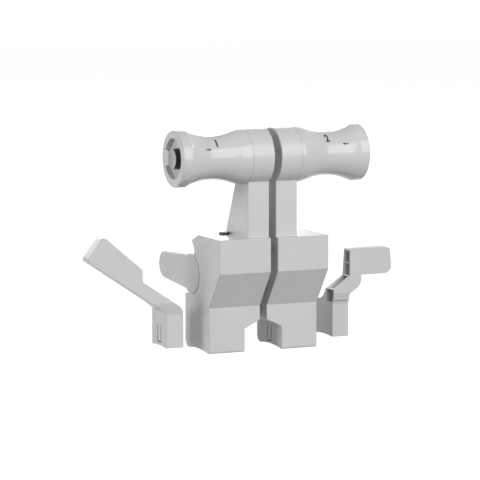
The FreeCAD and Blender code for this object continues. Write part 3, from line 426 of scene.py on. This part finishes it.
def close_flap_front(material):
    """The front wall of the flap lever's lowest cell, where its front starts to lean forward."""
    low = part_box("flap_lever")[0]
    shoulder, front = low.z + FOOT_TALL, low.y + STEP
    lean = STEP / STEP_TALL
    section = [(front - SKIN_LOW * lean + SKIN_SUNK, shoulder + SKIN_LOW),
               (front - SKIN_HIGH * lean + SKIN_SUNK, shoulder + SKIN_HIGH),
               (front - SKIN_HIGH * lean + SKIN, shoulder + SKIN_HIGH),
               (front - SKIN_LOW * lean + SKIN, shoulder + SKIN_LOW)]
    form = bmesh.new()
    ends = [[form.verts.new((x, y, z)) for y, z in section]
            for x in (low.x + SKIN_SUNK, low.x + FOOT_WIDE - SKIN)]
    form.faces.new(ends[0])
    form.faces.new(reversed(ends[1]))
    for number in range(len(section)):
        after = (number + 1) % len(section)
        form.faces.new([ends[0][after], ends[0][number], ends[1][number], ends[1][after]])
    bmesh.ops.recalc_face_normals(form, faces=form.faces[:])
    add_piece("flap_lever_front_wall", form, material, "flap")


# ---------------------------------------------------------------- printed marks

RIGHT, UP = Vector((1, 0, 0)), Vector((0, 0, 1))
# a flat form's own two ways
FORM_ALONG, FORM_UP = Vector((1, 0, 0)), Vector((0, 1, 0))
PRINT_PROUD = 0.05 * MM
PRINT_SUNK = 0.05 * MM
PRINT_STEP = 0.35 * MM
PRINT_FALL = 30 * MM
NUMERAL_HEIGHT = 5.4 * MM
NUMERAL_BOLD = 0.045
NUMERAL_CURVE_STEPS = 6
ARROW_LENGTH, ARROW_LINE, ARROW_HEAD = 4.0 * MM, 0.6 * MM, 1.7 * MM
ARROW_DROP = 3.2 * MM
# number, way outwards, from the grip's inner end, above its middle, arrow beside the numeral
MARKS = ((1, -1, 21.7 * MM, 9.2 * MM, 6.4 * MM), (2, 1, 20.4 * MM, 9.8 * MM, 11.0 * MM))


def numeral_outline(character, height):
    """Flat faces of one printed numeral, centred, its height along Y."""
    words = bpy.data.curves.new("numeral", "FONT")
    words.body = character
    words.size = height
    words.align_x = "CENTER"
    words.align_y = "CENTER"
    words.resolution_u = NUMERAL_CURVE_STEPS
    words.offset = height * NUMERAL_BOLD
    holder = bpy.data.objects.new("numeral", words)
    bpy.context.collection.objects.link(holder)
    bpy.context.view_layer.update()
    flat = bpy.data.meshes.new_from_object(holder.evaluated_get(
        bpy.context.evaluated_depsgraph_get()))
    form = bmesh.new()
    form.from_mesh(flat)
    bpy.data.objects.remove(holder)
    bpy.data.curves.remove(words)
    bpy.data.meshes.remove(flat)
    return form


def polygon_outline(corners):
    form = bmesh.new()
    form.faces.new([form.verts.new((x, y, 0)) for x, y in corners])
    return form


def arrow_outline(length, line, head):
    """An arrow that points along -X: a thin shaft and a solid head."""
    back, tip, neck = length / 2, -length / 2, -length / 2 + head
    return polygon_outline([(back, -line / 2), (back, line / 2), (neck, line / 2),
                            (neck, head / 2), (tip, 0), (neck, -head / 2), (neck, -line / 2)])


def slice_form(form, step):
    """Cuts a flat form into strips both ways, so that it can follow a curved surface."""
    for axis in (FORM_ALONG, FORM_UP):
        reach = [vert.co.dot(axis) for vert in form.verts]
        count = int((max(reach) - min(reach)) / step)
        for number in range(1, count + 1):
            place = axis * (min(reach) + number * step)
            geometry = form.verts[:] + form.edges[:] + form.faces[:]
            bmesh.ops.bisect_plane(form, geom=geometry, plane_co=place, plane_no=axis)


def print_mark(name, form, node, body, place, right, up, material):
    """Lays a flat form on a solid as a thin print.  Place is a point in front of the surface, and
    the print falls on it along the form's own normal."""
    away = right.cross(up).normalized()
    solid = frame["nodes"][node]
    tree = BVHTree.FromPolygons([vert.co for vert in solid.data.vertices],
                                [face.vertices for face in solid.data.polygons])
    slice_form(form, PRINT_STEP)
    bmesh.ops.triangulate(form, faces=form.faces[:])
    sole = []
    for vert in form.verts:
        start = place + right * vert.co.x + up * vert.co.y + away * PRINT_FALL
        hit = tree.ray_cast(start, -away)[0]
        vert.co = hit + away * PRINT_PROUD
        sole.append(hit - away * PRINT_SUNK)
    rim = [edge for edge in form.edges if edge.is_boundary]
    top = form.verts[:]
    twin = {vert: form.verts.new(low) for vert, low in zip(top, sole)}
    for face in form.faces[:]:
        form.faces.new([twin[vert] for vert in reversed(face.verts)])
    for edge in rim:
        first, second = edge.verts
        form.faces.new([first, second, twin[second], twin[first]])
    bmesh.ops.recalc_face_normals(form, faces=form.faces[:])
    add_piece(name, form, material, body)


def print_marks():
    """Numerals 1 and 2, each with an arrow the way the button at its grip's end is pressed."""
    # the print's edges get a faint painted highlight from the black plastics' painted edge colour
    ink = moulded_plastic("print_ink", INK, INK_SHADE, BLACK_PAINTED_EDGE_HIGHLIGHT, gloss=(0.40, 0.50), grain=0.2,
                          depth=0.1, edge_radius=0.02, painted_edge_amount=0.1)
    for number, outward, inset, rise, aside in MARKS:
        node = "throttle_%d_grip_sleeve" % number
        low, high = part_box(node)
        inner_end = high.x if outward < 0 else low.x
        centre = Vector((inner_end + outward * inset, low.y, (low.z + high.z) / 2 + rise))
        body = "throttle_%d_head" % number
        numeral = numeral_outline(str(number), NUMERAL_HEIGHT)
        print_mark("throttle_%d_numeral" % number, numeral, node, body, centre, RIGHT, UP, ink)
        arrow = arrow_outline(ARROW_LENGTH, ARROW_LINE, ARROW_HEAD)
        beside = centre + Vector((outward * aside, 0, -ARROW_DROP))
        print_mark("throttle_%d_arrow" % number, arrow, node, body, beside, RIGHT * outward,
                   UP * outward, ink)


# ---------------------------------------------------------------- studio

FLOOR_SIZE = 8.0
FLOOR_GAP = 0.2 * MM
FLOOR_CELLS = 8
FLOOR_COLOUR = (0.32, 0.32, 0.32, 1.0)
FLOOR_ROUGHNESS = 0.9
WHITE = (1.0, 1.0, 1.0, 1.0)
# how bright floor and surroundings look, and how much light the surroundings give
FLOOR_SEEN, WORLD_SEEN, WORLD_LIGHT = 0.95, 1.0, 0.11


def seen_directly(tree):
    """1 for rays from the camera and for those that gloss or glass sends on, 0 for light."""
    path = add_node(tree, "LightPath")
    both = calculate(tree, "MAXIMUM", path.outputs["Is Camera Ray"],
                     path.outputs["Is Glossy Ray"])
    return calculate(tree, "MAXIMUM", both, path.outputs["Is Transmission Ray"])


def lay_floor():
    material, tree, surface = new_material("floor_paper")
    set_inputs(surface, {"Base Color": FLOOR_COLOUR, "Roughness": FLOOR_ROUGHNESS,
                         "Specular IOR Level": 0.0, "Emission Color": WHITE})
    glow = calculate(tree, "MULTIPLY", seen_directly(tree), FLOOR_SEEN)
    tree.links.new(glow, surface.inputs["Emission Strength"])
    form = bmesh.new()
    bmesh.ops.create_grid(form, x_segments=FLOOR_CELLS, y_segments=FLOOR_CELLS,
                          size=FLOOR_SIZE / 2)
    floor = add_piece("floor", form, material, None)
    floor.location = (0, 0, LOW.z - FLOOR_GAP)


def light_world():
    world = bpy.data.worlds.new("studio")
    bpy.context.scene.world = world
    world.use_nodes = True
    tree = world.node_tree
    tree.nodes.clear()
    soft = add_node(tree, "Background", {"Color": WHITE, "Strength": WORLD_LIGHT})
    white = add_node(tree, "Background", {"Color": WHITE, "Strength": WORLD_SEEN})
    mix = add_node(tree, "MixShader")
    leave = add_node(tree, "OutputWorld")
    tree.links.new(seen_directly(tree), mix.inputs[0])
    tree.links.new(soft.outputs[0], mix.inputs[1])
    tree.links.new(white.outputs[0], mix.inputs[2])
    tree.links.new(mix.outputs[0], leave.inputs["Surface"])


def add_soft_box(name, turn, rise, distance, wide, tall, watts):
    lamp = bpy.data.lights.new(name, "AREA")
    lamp.shape = "RECTANGLE"
    lamp.size = wide
    lamp.size_y = tall
    lamp.energy = watts
    box = bpy.data.objects.new(name, lamp)
    bpy.context.collection.objects.link(box)
    centre = (LOW + HIGH) / 2
    look_from(box, centre + direction(math.radians(turn), math.radians(rise)) * distance, centre)


# name: turn and rise in degrees, distance, width and height in metres, watts
SOFT_BOXES = {
    "front_box": (12, 25, 1.7, 1.5, 1.4, 24.0),
    "left_box": (-82, 9, 1.6, 0.9, 0.8, 13.0),
    "right_box": (100, 20, 1.7, 0.9, 0.8, 7.0),
    "back_box": (175, 16, 1.7, 1.3, 0.8, 12.0),
}


def light_studio():
    light_world()
    for name, values in SOFT_BOXES.items():
        add_soft_box(name, *values)


# ---------------------------------------------------------------- build

set_camera()
materials = make_materials()
dress_solids(materials)
make_button_dishes(materials["ring_plastic"])
close_flap_front(materials["side_plastic"])
print_marks()
lay_floor()
light_studio()
view_settings = bpy.context.scene.view_settings
view_settings.view_transform = "Standard"
